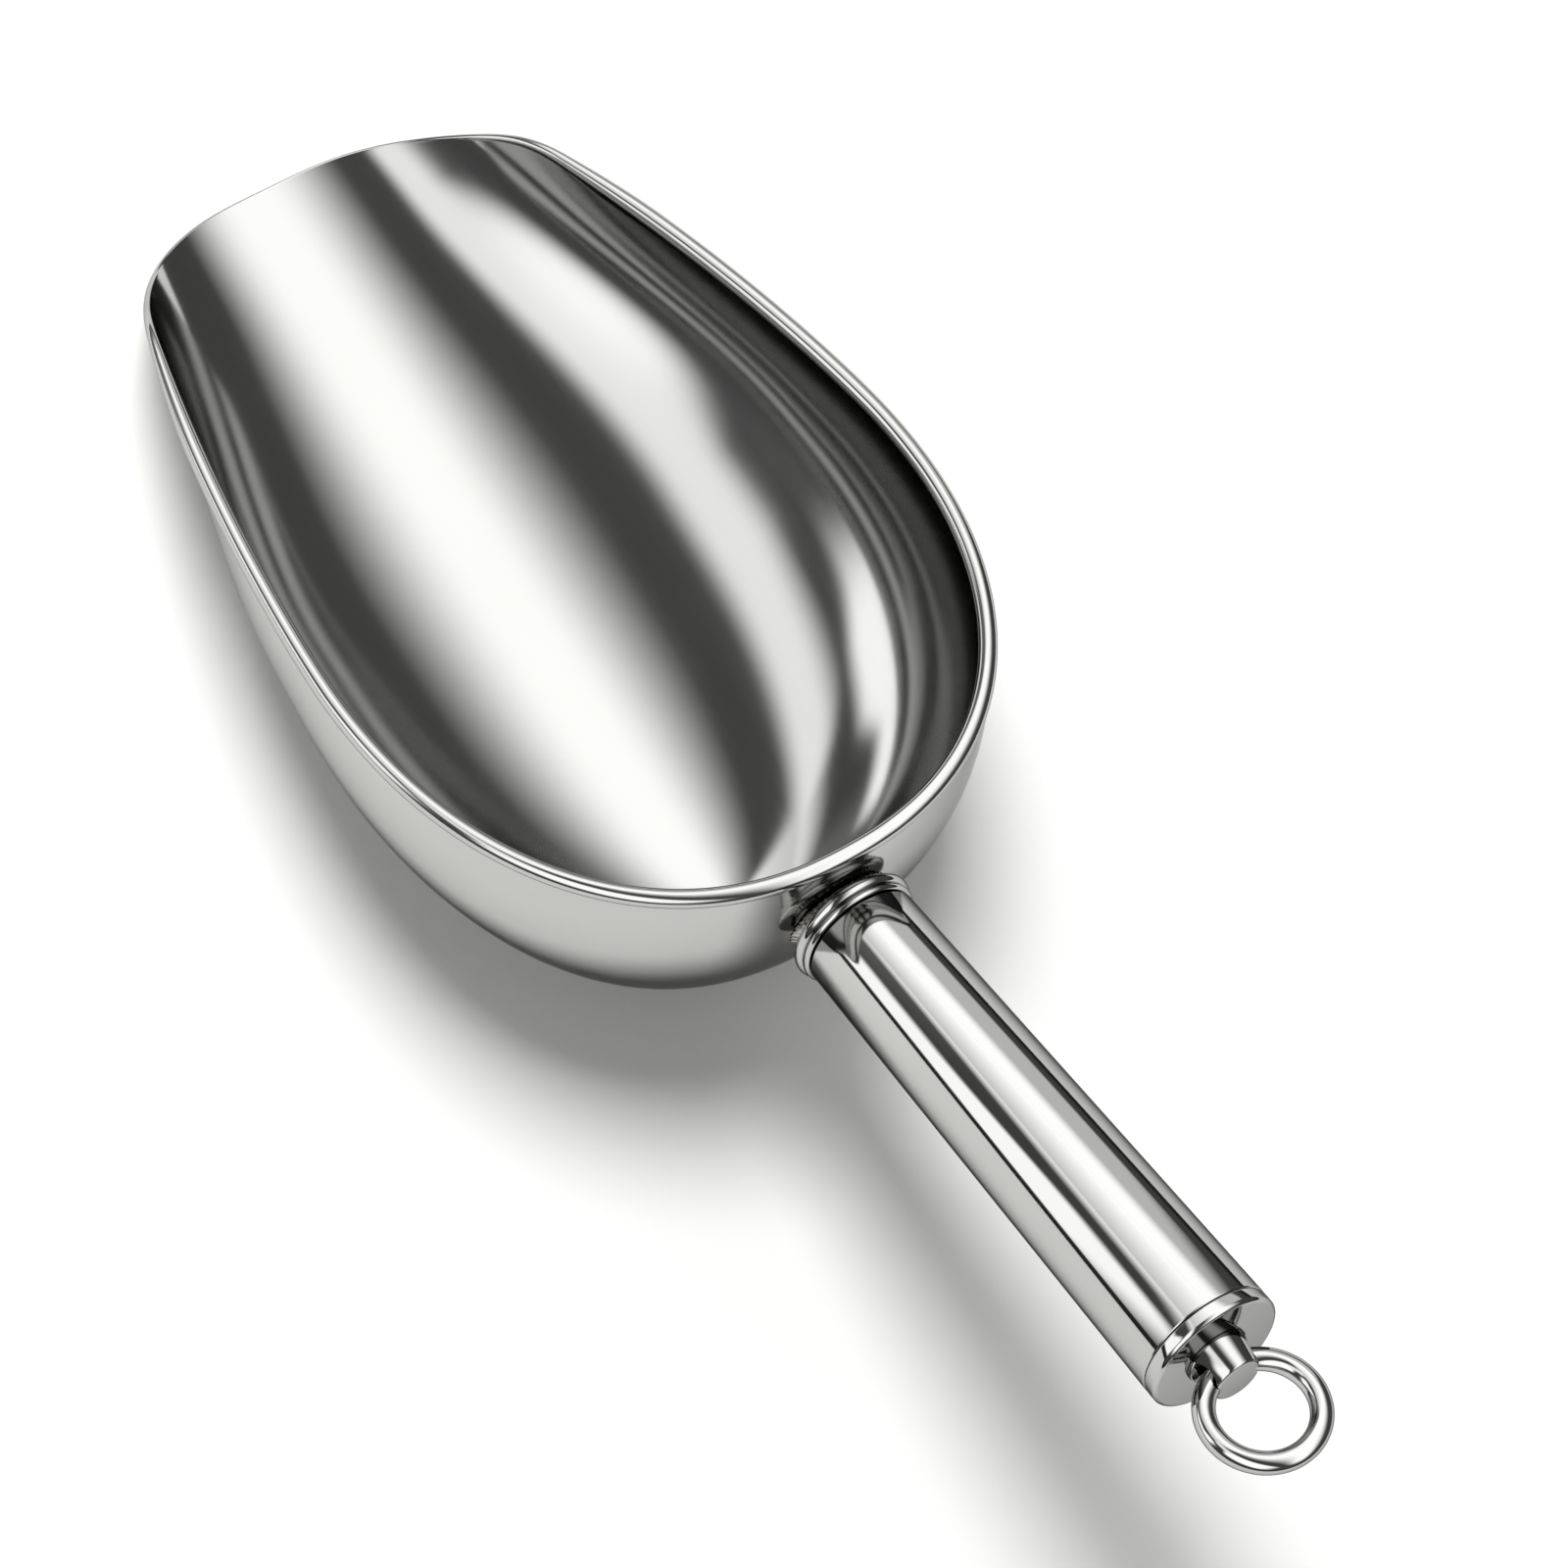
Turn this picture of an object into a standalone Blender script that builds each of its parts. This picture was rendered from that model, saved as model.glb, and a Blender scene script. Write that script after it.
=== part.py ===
"""Ice scoop: drawn steel bowl, welded neck, tubular handle and a swinging hanging ring.

Metres, +Z up, lip towards -Y, handle towards +Y, mirror plane X = 0.
The bowl is laid out with its lip at Y = 0 and its inside keel at Z = 0, and the whole
scoop is moved at the end so that the origin is the bottom centre of its box.
"""

import math

import bmesh
import bpy
import numpy as np
from mathutils import Vector
from mathutils.bvhtree import BVHTree

# Bowl: the inside face of the sheet.
SHEET = 0.0008
BOWL_LENGTH = 0.1377
BOWL_HALF_WIDTH = 0.0452
WIDEST_Y = 0.0825
LIP_WIDTH_RATIO = 0.78
FRONT_TAPER_POWER = 1.44
BACK_ROUND_POWER = 2.23
SECTION_DEPTH = 0.0536
SECTION_POWER = 2.85
FRONT_POWER_LIMIT = 14.0
WALL_BULGE = 0.0050
KEEL_END_EASE = 0.112
LIP_EASE = 0.024

# Rim line seen from the side, and the cut of the lip.
RIM_FRONT_HEIGHT = 0.0124
RIM_BACK_HEIGHT = 0.0535
RIM_ARCH = 0.0012
LIP_CUT_LENGTH = 0.0168
LIP_CUT_POWER = 1.43
LIP_CORNER_EASE = 0.0062

# Rolled rim.
RIM_ROLL_RADIUS = 0.00135
RIM_ROLL_PROUD = 0.0003
ROLL_START_Y = 0.003
ROLL_FULL_Y = 0.040

# Handle axis.
HANDLE_START_BEHIND_BOWL = 0.0094
HANDLE_START_HEIGHT = 0.0400
HANDLE_TILT = math.radians(19.0)

# Handle tube.
TUBE_LENGTH = 0.0776
TUBE_FRONT_RADIUS = 0.00855
TUBE_BACK_RADIUS = 0.0100
TUBE_WALL = 0.0010

# Collar, neck and weld.
COLLAR_LENGTH = 0.0028
COLLAR_FRONT_RIDGE = 0.0094
COLLAR_BACK_RIDGE = 0.0090
COLLAR_GROOVE = 0.0083
NECK_RADIUS = 0.0070
SPIGOT_LENGTH = 0.012
WELD_LEG = 0.0007

# End cap, stud, washer and ring.
CAP_BAND = 0.0014
CAP_EDGE_RADIUS = 0.00065
CAP_WALL = 0.0012
CAP_SPIGOT_LENGTH = 0.0065
STUD_FOOT_RADIUS = 0.0047
STUD_TOP_RADIUS = 0.0037
STUD_HEIGHT = 0.0045
STUD_SHANK_RADIUS = 0.0020
HOLE_HEIGHT = 0.0021
RING_WIRE_RADIUS = 0.00160
RING_RADIUS = 0.0077
RING_DROOP = math.radians(2.0)

GAP = 0.0003
HOLE_PLAY = 0.00018

# Mesh steps.
RIM_STEPS = 96
WALL_STEPS = 10
ROLL_STEPS = 8
ROUND_STEPS = 48
SECTION_STEPS = 600
HALVINGS = 40


def clear_scene():
    for item in list(bpy.data.objects):
        bpy.data.objects.remove(item, do_unlink=True)


def make_material(name, colour, roughness, metallic):
    material = bpy.data.materials.new(name)
    material.use_nodes = True
    shader = material.node_tree.nodes["Principled BSDF"]
    shader.inputs["Base Color"].default_value = (*colour, 1.0)
    shader.inputs["Roughness"].default_value = roughness
    shader.inputs["Metallic"].default_value = metallic
    return material


def add_object(name, mesh_data, material, sharp=30.0):
    obj = bpy.data.objects.new(name, mesh_data)
    bpy.context.scene.collection.objects.link(obj)
    mesh_data.materials.append(material)
    mesh_data.shade_smooth()
    mesh_data.set_sharp_from_angle(angle=math.radians(sharp))
    return obj


def mesh_from(name, points, faces):
    mesh = bpy.data.meshes.new(name)
    shell = bmesh.new()
    verts = [shell.verts.new(point) for point in points]
    for face in faces:
        corners = []
        for index in face:
            if verts[index] not in corners:
                corners.append(verts[index])
        if len(corners) > 2:
            shell.faces.new(corners)
    bmesh.ops.recalc_face_normals(shell, faces=shell.faces)
    if shell.calc_volume(signed=True) < 0.0:
        bmesh.ops.reverse_faces(shell, faces=shell.faces)
    shell.to_mesh(mesh)
    shell.free()
    return mesh


# ---------------------------------------------------------------- bowl

def half_width(y):
    if y < WIDEST_Y:
        share = (WIDEST_Y - y) / WIDEST_Y
        return BOWL_HALF_WIDTH * (1.0 - (1.0 - LIP_WIDTH_RATIO) * share ** FRONT_TAPER_POWER)
    share = min((y - WIDEST_Y) / (BOWL_LENGTH - WIDEST_Y), 1.0)
    return BOWL_HALF_WIDTH * (1.0 - share ** BACK_ROUND_POWER) ** (1.0 / BACK_ROUND_POWER)


def rim_line(y):
    share = y / BOWL_LENGTH
    straight = RIM_FRONT_HEIGHT + (RIM_BACK_HEIGHT - RIM_FRONT_HEIGHT) * share
    return straight + RIM_ARCH * 4.0 * share * (1.0 - share)


def smooth(value, low, high):
    share = min(max((value - low) / (high - low), 0.0), 1.0)
    return share * share * (3.0 - 2.0 * share)


def cut_height(y):
    left = max(1.0 - max(y, 0.0) / LIP_CUT_LENGTH, 0.0)
    return rim_line(y) * (1.0 - left ** LIP_CUT_POWER) ** (1.0 / LIP_CUT_POWER)


def rim_height(y):
    """Edge height: the lip cut running into the long rim over an eased corner."""
    reach = LIP_CORNER_EASE * smooth(y, 0.002, 0.012)
    if y > LIP_CUT_LENGTH + LIP_CORNER_EASE:
        return rim_line(y)
    total = 0.0
    weight = 0.0
    for step in range(-4, 5):
        share = 1.0 - (step / 5.0) ** 2
        total += share * cut_height(y + reach * step / 4.0)
        weight += share
    return total / weight


def keel_point(y):
    if y > KEEL_END_EASE:
        return y - (y - KEEL_END_EASE) ** 2 / (2.0 * (BOWL_LENGTH - KEEL_END_EASE))
    if y < LIP_EASE:
        return y + (LIP_EASE - y) ** 2 / (2.0 * LIP_EASE)
    return y


def plan_normal(x, y):
    if y < WIDEST_Y:
        step = 1e-6
        slope = (half_width(y + step) - half_width(max(y - step, 0.0))) / (2.0 * step)
        normal = Vector((1.0, -slope))
    else:
        across = x / BOWL_HALF_WIDTH
        along = (y - WIDEST_Y) / (BOWL_LENGTH - WIDEST_Y)
        power = BACK_ROUND_POWER - 1.0
        normal = Vector((
            across ** power / BOWL_HALF_WIDTH,
            along ** power / (BOWL_LENGTH - WIDEST_Y),
        ))
    return normal.normalized()


def reach_share(height):
    """Share of the half width that the plain back section reaches at the given height."""
    share = min(height / SECTION_DEPTH, 1.0)
    return math.sqrt(1.0 - (1.0 - share) ** SECTION_POWER)


def front_section(y):
    """Width and power that keep the floor of the trough equally round forward of the widest point."""
    reach = half_width(y) * reach_share(rim_line(y))
    left = 1.0 - rim_line(y) / SECTION_DEPTH
    wanted = SECTION_POWER * BOWL_HALF_WIDTH ** 2
    low = SECTION_POWER
    high = FRONT_POWER_LIMIT
    for _ in range(HALVINGS):
        power = (low + high) / 2.0
        if power * reach ** 2 / (1.0 - left ** power) < wanted:
            low = power
        else:
            high = power
    return reach / math.sqrt(1.0 - left ** power), power


SECTION_SHAPES = [front_section(WIDEST_Y * index / SECTION_STEPS) for index in range(SECTION_STEPS + 1)]


def section_shape(y):
    """Width and power of the section at y, read between the sections worked out above."""
    if y >= WIDEST_Y:
        return half_width(y), SECTION_POWER
    place = max(y, 0.0) / WIDEST_Y * SECTION_STEPS
    index = min(int(place), SECTION_STEPS - 1)
    share = place - index
    width, power = SECTION_SHAPES[index]
    next_width, next_power = SECTION_SHAPES[index + 1]
    return width + (next_width - width) * share, power + (next_power - power) * share


def edge_angle(edge_y):
    """Wall angle at which the inside face reaches the rim height."""
    reach = reach_share(rim_height(edge_y))
    if edge_y < WIDEST_Y:
        reach *= half_width(edge_y) / section_shape(edge_y)[0]
    return math.asin(min(reach, 1.0))


def bowl_point(edge_y, share):
    """Point of the inside face on the wall line from the keel (0) to edge_y on the rim (1)."""
    angle = edge_angle(edge_y) * share
    keel = keel_point(edge_y)
    spread = math.sin(angle)
    if edge_y < WIDEST_Y * 0.6:
        y = keel + (edge_y - keel) * share
        wall_y = y
    else:
        y = keel + (edge_y - keel) * spread
        wall_y = edge_y
    width, power = section_shape(wall_y)
    height = SECTION_DEPTH * (1.0 - max(math.cos(angle), 0.0) ** (2.0 / power))
    lift = min(height / rim_line(wall_y), 1.0)
    bulge = WALL_BULGE * 4.0 * lift * (1.0 - lift) * smooth(y, 0.012, 0.070)
    outward = plan_normal(half_width(wall_y), wall_y)
    return Vector((width * spread + bulge * outward.x, y + bulge * outward.y, height))


def edge_stations():
    """Y of the rim stations from the lip centre to the back centre, evenly spaced round."""
    fine = 1200
    ys = []
    for index in range(fine + 1):
        share = index / fine
        front = BOWL_LENGTH * share ** 3
        back = BOWL_LENGTH * (1.0 - (1.0 - share) ** 3)
        ys.append(front * (1.0 - share) + back * share)
    points = np.array([bowl_point(y, 1.0) for y in ys])
    steps = np.linalg.norm(np.diff(points, axis=0), axis=1)
    along = np.concatenate([[0.0], np.cumsum(steps)])
    wanted = np.linspace(0.0, along[-1], RIM_STEPS // 2 + 1)
    stations = np.interp(wanted, along, ys)
    stations[0] = 0.0
    stations[-1] = BOWL_LENGTH
    return [float(value) for value in stations]


def wall_normal(edge_y, share):
    """Outward normal of the inside face, by small steps along and round the wall."""
    if edge_y < 1e-7:
        return Vector((0.0, 0.0, -1.0))
    step_y = 2e-5
    step_s = 2e-4
    low_y = max(edge_y - step_y, 0.0)
    high_y = min(edge_y + step_y, BOWL_LENGTH)
    round_step = bowl_point(high_y, share) - bowl_point(low_y, share)
    up_step = bowl_point(edge_y, share + step_s) - bowl_point(edge_y, share - step_s)
    if edge_y > BOWL_LENGTH - 1e-7:
        round_step = Vector((-1.0, 0.0, 0.0))
    return round_step.cross(up_step).normalized()


def roll_share(edge_y):
    return smooth(edge_y, ROLL_START_Y, ROLL_FULL_Y)


def bowl_half_lines():
    """Closed section lines of the right half: inside face, rolled rim, outside face."""
    stations = edge_stations()
    top_points = [bowl_point(y, 1.0) for y in stations]
    lines = []
    for index, edge_y in enumerate(stations):
        inside = []
        outside = []
        for step in range(1, WALL_STEPS + 1):
            share = (step / WALL_STEPS) ** 0.9
            point = bowl_point(edge_y, share)
            normal = wall_normal(edge_y, share)
            inside.append(point)
            outside.append(point + normal * SHEET)
        edge_normal = wall_normal(edge_y, 1.0)
        before = top_points[max(index - 1, 0)].copy()
        after = top_points[min(index + 1, len(top_points) - 1)].copy()
        if index == 0:
            before.x = -after.x
            before.y = after.y
            before.z = after.z
        if index == len(top_points) - 1:
            after = before.copy()
            after.x = -before.x
        along = (after - before).normalized()
        rise = along.cross(edge_normal).normalized()
        if rise.dot(inside[-1] - inside[-2]) < 0.0:
            rise = rise * -1.0
        radius = SHEET / 2.0 + (RIM_ROLL_RADIUS - SHEET / 2.0) * roll_share(edge_y)
        proud = RIM_ROLL_PROUD * roll_share(edge_y)
        start = math.acos((radius - proud) / radius)
        end = math.acos(max(min((SHEET - radius + proud) / radius, 1.0), -1.0))
        centre = inside[-1] + edge_normal * (radius - proud)
        roll = []
        for step in range(ROLL_STEPS + 1):
            turn = math.pi + start - (math.pi + start + end) * step / ROLL_STEPS
            roll.append(centre + edge_normal * radius * math.cos(turn) + rise * radius * math.sin(turn))
        lines.append((inside, roll, outside))
    return stations, lines


def build_bowl(material):
    stations, lines = bowl_half_lines()
    last = len(stations) - 1
    points = []
    faces = []

    def add(point):
        points.append(point)
        return len(points) - 1

    def mirrored(point):
        return Vector((-point.x, point.y, point.z))

    columns = []
    for index in range(RIM_STEPS):
        station = index if index <= last else RIM_STEPS - index
        flip = index > last
        inside, roll, outside = lines[station]
        outside_walls = outside[:-1]
        path = list(inside[:-1]) + list(roll) + list(reversed(outside_walls))
        if station in (0, last):
            path = [Vector((0.0, point.y, point.z)) for point in path]
        columns.append([add(mirrored(point) if flip else point) for point in path])
    rows = len(columns[0])
    for index in range(RIM_STEPS):
        here = columns[index]
        there = columns[(index + 1) % RIM_STEPS]
        for row in range(rows - 1):
            faces.append((here[row], there[row], there[row + 1], here[row + 1]))
    # Keel strips that join the right and left walls, inside and outside.
    for row in (0, rows - 1):
        middle = [columns[0][row]]
        for station in range(1, last):
            near = points[columns[station][row]]
            level = keel_height(near.y) - (0.0 if row == 0 else SHEET)
            middle.append(add(Vector((0.0, near.y, level))))
        middle.append(columns[last][row])
        for station in range(last):
            right_a = columns[station][row]
            right_b = columns[station + 1][row]
            left_a = columns[(RIM_STEPS - station) % RIM_STEPS][row]
            left_b = columns[RIM_STEPS - station - 1][row]
            faces.append((middle[station], right_a, right_b, middle[station + 1]))
            faces.append((middle[station], left_a, left_b, middle[station + 1]))
    return add_object("bowl", mesh_from("bowl", points, faces), material, 60.0)


def keel_height(y):
    end = keel_point(BOWL_LENGTH)
    if y <= end:
        return 0.0
    spread = min((y - end) / (BOWL_LENGTH - end), 1.0)
    return SECTION_DEPTH * (1.0 - (1.0 - spread ** 2) ** (1.0 / SECTION_POWER))


# ---------------------------------------------------------------- handle parts

AXIS = Vector((0.0, math.cos(HANDLE_TILT), math.sin(HANDLE_TILT)))
UPRIGHT = Vector((0.0, -math.sin(HANDLE_TILT), math.cos(HANDLE_TILT)))
ACROSS = Vector((1.0, 0.0, 0.0))
START = Vector((0.0, BOWL_LENGTH + HANDLE_START_BEHIND_BOWL, HANDLE_START_HEIGHT))


def on_handle(along, radius, turn):
    side = ACROSS * math.cos(turn) + UPRIGHT * math.sin(turn)
    return START + AXIS * along + side * radius


def lathe(name, profile, material, steps=ROUND_STEPS, sharp=30.0):
    """Closed profile of (along, radius) turned about the handle axis."""
    points = []
    rings = []
    for along, radius in profile:
        if radius < 1e-9:
            points.append(on_handle(along, 0.0, 0.0))
            rings.append([len(points) - 1] * steps)
            continue
        ring = []
        for step in range(steps):
            points.append(on_handle(along, radius, 2.0 * math.pi * step / steps))
            ring.append(len(points) - 1)
        rings.append(ring)
    faces = []
    count = len(rings)
    on_axis = profile[0][1] < 1e-9
    for index in range(count - 1 if on_axis else count):
        here = rings[index]
        there = rings[(index + 1) % count]
        for step in range(steps):
            after = (step + 1) % steps
            faces.append((here[step], here[after], there[after], there[step]))
    return add_object(name, mesh_from(name, points, faces), material, sharp)


def arc(centre_along, centre_radius, radius, first, last, steps):
    """Profile points round an arc, angles in degrees from +along towards +radius."""
    result = []
    for step in range(steps + 1):
        turn = math.radians(first + (last - first) * step / steps)
        result.append((
            centre_along + radius * math.cos(turn),
            centre_radius + radius * math.sin(turn),
        ))
    return result


def build_handle_tube(material):
    front_bore = TUBE_FRONT_RADIUS - TUBE_WALL
    back_bore = TUBE_BACK_RADIUS - TUBE_WALL
    lip = 0.00025
    profile = [
        (0.0, front_bore),
        (0.0, TUBE_FRONT_RADIUS - lip),
        (lip, TUBE_FRONT_RADIUS),
        (TUBE_LENGTH - lip / 2.0, TUBE_BACK_RADIUS),
        (TUBE_LENGTH, TUBE_BACK_RADIUS - lip / 2.0),
        (TUBE_LENGTH, back_bore),
    ]
    return lathe("handle_tube", profile, material)


def build_collar(material):
    bore = NECK_RADIUS + GAP
    front = -GAP - COLLAR_LENGTH
    ridge = COLLAR_LENGTH * 0.30
    low = COLLAR_LENGTH * 0.20
    profile = [(front, bore)]
    profile += arc(front + ridge, COLLAR_FRONT_RIDGE - ridge, ridge, 180.0, 30.0, 5)
    profile += [(front + 2.0 * ridge + 0.00003, COLLAR_GROOVE)]
    profile += arc(-GAP - low, COLLAR_BACK_RIDGE - low, low, 150.0, 0.0, 5)
    profile += [(-GAP, bore)]
    return lathe("collar", profile, material)


def bowl_hit(bowl_tree, along_from, radius, turn):
    """Distance along the handle axis at which the bowl's outside face is met."""
    origin = on_handle(along_from, radius, turn)
    hit = bowl_tree.ray_cast(origin, -AXIS)
    return along_from - hit[3]


def build_neck(bowl_tree, material):
    """Turned stub: front end shaped to the bowl, spigot inside the tube."""
    spigot = TUBE_FRONT_RADIUS - TUBE_WALL - GAP
    tail = SPIGOT_LENGTH
    steps = ROUND_STEPS
    points = []
    rings = []
    for radius in (0.0, NECK_RADIUS * 0.55, NECK_RADIUS):
        ring = []
        for step in range(steps if radius > 0.0 else 1):
            turn = 2.0 * math.pi * step / steps
            along = bowl_hit(bowl_tree, 0.004, radius, turn) + GAP * 1.15
            points.append(on_handle(along, radius, turn))
            ring.append(len(points) - 1)
        rings.append(ring * steps if radius == 0.0 else ring)
    step_at = GAP
    for along, radius in (
        (step_at, NECK_RADIUS),
        (step_at, spigot),
        (tail - 0.0008, spigot),
        (tail, spigot - 0.0008),
        (tail, 0.0),
    ):
        ring = []
        for step in range(steps if radius > 0.0 else 1):
            points.append(on_handle(along, radius, 2.0 * math.pi * step / steps))
            ring.append(len(points) - 1)
        rings.append(ring * steps if radius == 0.0 else ring)
    faces = []
    for here, there in zip(rings, rings[1:]):
        for step in range(steps):
            after = (step + 1) % steps
            faces.append((here[step], here[after], there[after], there[step]))
    return add_object("neck", mesh_from("neck", points, faces), material)


def build_neck_weld(bowl_tree, material):
    """Fillet that follows the joint between the neck and the bowl."""
    steps = ROUND_STEPS
    inner = NECK_RADIUS + GAP
    columns = []
    points = []
    for step in range(steps):
        turn = 2.0 * math.pi * step / steps
        foot = bowl_hit(bowl_tree, 0.004, inner, turn) + GAP * 1.15
        toe = bowl_hit(bowl_tree, 0.004, inner + WELD_LEG, turn) + GAP * 1.15
        column = []
        for along, radius in (
            (foot, inner),
            (toe, inner + WELD_LEG),
            (toe + WELD_LEG * 0.25, inner + WELD_LEG * 0.85),
            (foot + WELD_LEG * 0.72, inner + WELD_LEG * 0.40),
            (foot + WELD_LEG, inner),
        ):
            points.append(on_handle(along, radius, turn))
            column.append(len(points) - 1)
        columns.append(column)
    faces = []
    count = len(columns[0])
    for step in range(steps):
        here = columns[step]
        there = columns[(step + 1) % steps]
        for index in range(count):
            after = (index + 1) % count
            faces.append((here[index], there[index], there[after], here[after]))
    return add_object("neck_weld", mesh_from("neck_weld", points, faces), material, 50.0)


def build_end_cap(material):
    start = TUBE_LENGTH + GAP
    face = start + CAP_BAND + CAP_EDGE_RADIUS
    bore = TUBE_BACK_RADIUS - TUBE_WALL
    taper = (TUBE_BACK_RADIUS - TUBE_FRONT_RADIUS) / TUBE_LENGTH * CAP_SPIGOT_LENGTH
    spigot = bore - GAP - taper
    hole = STUD_SHANK_RADIUS + GAP
    floor = face - CAP_WALL
    edge = CAP_EDGE_RADIUS
    profile = [(face, hole)]
    profile += arc(face - edge, TUBE_BACK_RADIUS - edge, edge, 0.0, 90.0, 3)
    profile += [
        (start + 0.0002, TUBE_BACK_RADIUS),
        (start, TUBE_BACK_RADIUS - 0.0002),
        (start, spigot),
        (start - CAP_SPIGOT_LENGTH, spigot),
        (start - CAP_SPIGOT_LENGTH, spigot - CAP_WALL),
        (floor, spigot - CAP_WALL),
        (floor, hole),
    ]
    return lathe("end_cap", profile, material)


def cap_face():
    return TUBE_LENGTH + GAP + CAP_BAND + CAP_EDGE_RADIUS


def build_ring_stud(material):
    base = cap_face() + GAP
    inner_end = cap_face() - CAP_WALL - 2.0 * GAP - 0.0010
    head = 0.0009
    edge = 0.0005
    profile = [
        (inner_end - head - GAP, 0.0),
        (inner_end - head - GAP, STUD_SHANK_RADIUS * 0.9),
        (inner_end - head * 0.5 - GAP, STUD_SHANK_RADIUS * 1.6),
        (inner_end - GAP, STUD_SHANK_RADIUS * 1.6),
        (inner_end - GAP, STUD_SHANK_RADIUS),
        (base, STUD_SHANK_RADIUS),
        (base, STUD_FOOT_RADIUS - 0.0001),
        (base + 0.0001, STUD_FOOT_RADIUS),
    ]
    top = base + STUD_HEIGHT
    profile += arc(top - edge, STUD_TOP_RADIUS - edge, edge, 76.0, 0.0, 3)
    profile += [(top, 0.0)]
    stud = lathe("ring_stud", profile, material)
    cutter = build_hole_cutter(base + HOLE_HEIGHT, material)
    cut = stud.modifiers.new("ring_hole", "BOOLEAN")
    cut.operation = "DIFFERENCE"
    cut.solver = "EXACT"
    cut.object = cutter
    return stud


def build_hole_cutter(along, material):
    """Waisted bore across the stud, wide enough at its mouths for the ring's own curve."""
    centre = START + AXIS * along
    radius = RING_WIRE_RADIUS + HOLE_PLAY
    reach = STUD_FOOT_RADIUS + 0.0003
    spans = [-1.0, -0.84, -0.66, -0.44, -0.22, 0.0, 0.22, 0.44, 0.66, 0.84, 1.0]
    steps = 24
    points = []
    rings = []
    for span in spans:
        x = reach * span
        bow = RING_RADIUS - math.sqrt(RING_RADIUS ** 2 - x * x)
        ring = []
        for step in range(steps):
            turn = 2.0 * math.pi * step / steps
            out = (radius + bow * 1.06) * math.sin(turn)
            out = max(out, -radius)
            up = (radius + bow * 1.06) * math.cos(turn)
            points.append(centre + ACROSS * x + AXIS * out + UPRIGHT * up)
            ring.append(len(points) - 1)
        rings.append(ring)
    faces = [tuple(rings[0]), tuple(rings[-1])]
    for here, there in zip(rings, rings[1:]):
        for step in range(steps):
            after = (step + 1) % steps
            faces.append((here[step], here[after], there[after], there[step]))
    cutter = add_object("ring_hole_cutter", mesh_from("ring_hole_cutter", points, faces), material)
    cutter.hide_render = True
    cutter.display_type = "WIRE"
    return cutter


def build_stud_washer(material):
    high = cap_face() - CAP_WALL - GAP
    low = high - 0.0010
    bore = STUD_SHANK_RADIUS + GAP
    outer = 0.0056
    profile = [(low, bore), (low, outer), (high, outer), (high, bore)]
    return lathe("stud_washer", profile, material)


def build_hanging_ring(material):
    """Closed ring through the stud's hole; the object's origin is the hinge point."""
    along = cap_face() + GAP + HOLE_HEIGHT
    hinge = START + AXIS * along
    out = AXIS * math.cos(RING_DROOP) - UPRIGHT * math.sin(RING_DROOP)
    flat = out.cross(ACROSS)
    round_steps = 44
    wire_steps = 12
    points = []
    faces = []
    for step in range(round_steps):
        turn = 2.0 * math.pi * step / round_steps
        spoke = ACROSS * math.sin(turn) - out * math.cos(turn)
        centre = out * RING_RADIUS + spoke * RING_RADIUS
        for side in range(wire_steps):
            lean = 2.0 * math.pi * side / wire_steps
            points.append(centre + spoke * RING_WIRE_RADIUS * math.cos(lean)
                          + flat * RING_WIRE_RADIUS * math.sin(lean))
    for step in range(round_steps):
        after = (step + 1) % round_steps
        for side in range(wire_steps):
            beside = (side + 1) % wire_steps
            faces.append((
                step * wire_steps + side,
                after * wire_steps + side,
                after * wire_steps + beside,
                step * wire_steps + beside,
            ))
    ring = add_object("hanging_ring", mesh_from("hanging_ring", points, faces), material)
    ring.location = hinge
    return ring


def settle_on_origin():
    """Move everything so that the origin is the bottom centre of the box."""
    bpy.context.view_layer.update()
    corners = []
    for obj in bpy.data.objects:
        if obj.hide_render:
            continue
        corners += [obj.matrix_world @ vertex.co for vertex in obj.data.vertices]
    low = Vector([min(corner[axis] for corner in corners) for axis in range(3)])
    high = Vector([max(corner[axis] for corner in corners) for axis in range(3)])
    shift = Vector((-(low.x + high.x) / 2.0, -(low.y + high.y) / 2.0, -low.z))
    for obj in bpy.data.objects:
        obj.location += shift


def main():
    clear_scene()
    drawn = make_material("drawn_steel", (0.62, 0.62, 0.61), 0.12, 1.0)
    tube = make_material("tube_steel", (0.62, 0.62, 0.61), 0.14, 1.0)
    turned = make_material("turned_steel", (0.58, 0.58, 0.57), 0.22, 1.0)
    weld = make_material("weld_steel", (0.48, 0.47, 0.45), 0.40, 1.0)
    wire = make_material("ring_wire", (0.64, 0.64, 0.63), 0.12, 1.0)
    bowl = build_bowl(drawn)
    shell = bmesh.new()
    shell.from_mesh(bowl.data)
    bowl_tree = BVHTree.FromBMesh(shell)
    shell.free()
    build_neck_weld(bowl_tree, weld)
    build_neck(bowl_tree, turned)
    build_collar(turned)
    build_handle_tube(tube)
    build_end_cap(tube)
    build_ring_stud(turned)
    build_stud_washer(turned)
    build_hanging_ring(wire)
    settle_on_origin()


main()
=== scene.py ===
"""Looks of the ice scoop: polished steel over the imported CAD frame, in a soft-box studio."""

import math

import bmesh
import bpy
import numpy as np
from mathutils import Matrix, Vector
from mathutils.bvhtree import BVHTree


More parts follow.
